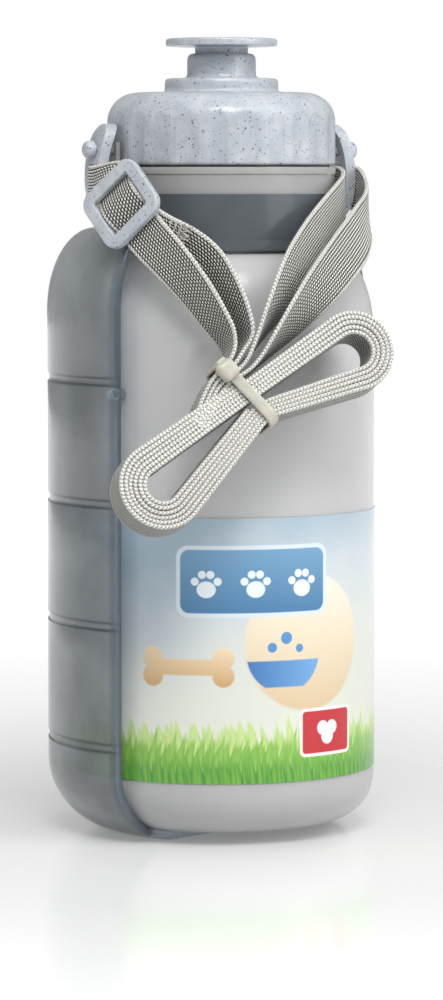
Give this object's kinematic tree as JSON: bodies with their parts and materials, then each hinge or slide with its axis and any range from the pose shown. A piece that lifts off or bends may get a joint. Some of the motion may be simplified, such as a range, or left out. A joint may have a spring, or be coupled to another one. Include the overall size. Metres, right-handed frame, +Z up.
{
  "type": "portable dog water bottle with bowl",
  "caption": "Portable dog drinking set: squeeze bottle with a push-pull screw cap, a half-shell bowl clipped on its back, and a carrying strap tied in a hank.",
  "frame": {"origin": "on the bottle's axis, on the surface that the set stands on", "axes": "+Z up along the bottle; the bowl is on the +Y side and the strap's hank towards -X and -Y"},
  "size_m": [0.1166, 0.1119, 0.2123],
  "materials": {
    "bottle_plastic": "frosted translucent squeeze plastic",
    "label_film": "printed gloss film",
    "collar_plastic": "semi-gloss dark grey",
    "bowl_plastic": "translucent grey blue, semi-gloss",
    "speckled_plastic": "pale grey with fine dark speckles",
    "seal_rubber": "soft white sealing foam",
    "ring_plastic": "translucent natural plastic",
    "webbing": "woven light grey webbing",
    "thread": "grey sewing thread",
    "tie_nylon": "natural white nylon"
  },
  "bodies": {
    "bottle_body": {"bottle": "bottle_plastic", "label": "label_film", "neck_collar": "collar_plastic"},
    "bowl_body": {"bowl": "bowl_plastic"},
    "seal_body": {"cap_seal": "seal_rubber"},
    "cap_body": {"cap": "speckled_plastic"},
    "spout_body": {"spout": "speckled_plastic"},
    "strap_body": {"strap_ring": "ring_plastic", "left_ear": "speckled_plastic", "right_ear": "speckled_plastic", "left_ear_pin": "speckled_plastic", "right_ear_pin": "speckled_plastic", "slider": "speckled_plastic", "strap_left_front": "webbing", "strap_left_back": "webbing", "strap_right_inner": "webbing", "strap_right_outer": "webbing", "strap_hank": "webbing", "strap_stitching": "thread", "cable_tie": "tie_nylon"}
  },
  "joints": [
    {"name": "bowl_pull", "type": "slide", "parent": "bottle_body", "child": "bowl_body", "axis": [0, 1, 0], "range_m": [0, 0.1]},
    {"name": "cap_lift", "type": "slide", "parent": "bottle_body", "child": "seal_body", "axis": [0, 0, 1], "range_m": [0, 0.01602]},
    {"name": "cap_turn", "type": "hinge", "parent": "seal_body", "child": "cap_body", "pos_m": [0, 0, 0.18], "axis": [0, 0, 1], "range_deg": [0, 1440]},
    {"name": "spout_pull", "type": "slide", "parent": "cap_body", "child": "spout_body", "axis": [0, 0, 1], "range_m": [0, 0.0045]},
    {"name": "strap_ring_turn", "type": "hinge", "parent": "bottle_body", "child": "strap_body", "pos_m": [0, 0, 0.177], "axis": [0, 0, 1], "range_deg": [-4, 4]}
  ],
  "couplings": [
    {"joint": "cap_lift", "follows": "cap_turn", "m_per_rad": 0.00063662}
  ]
}
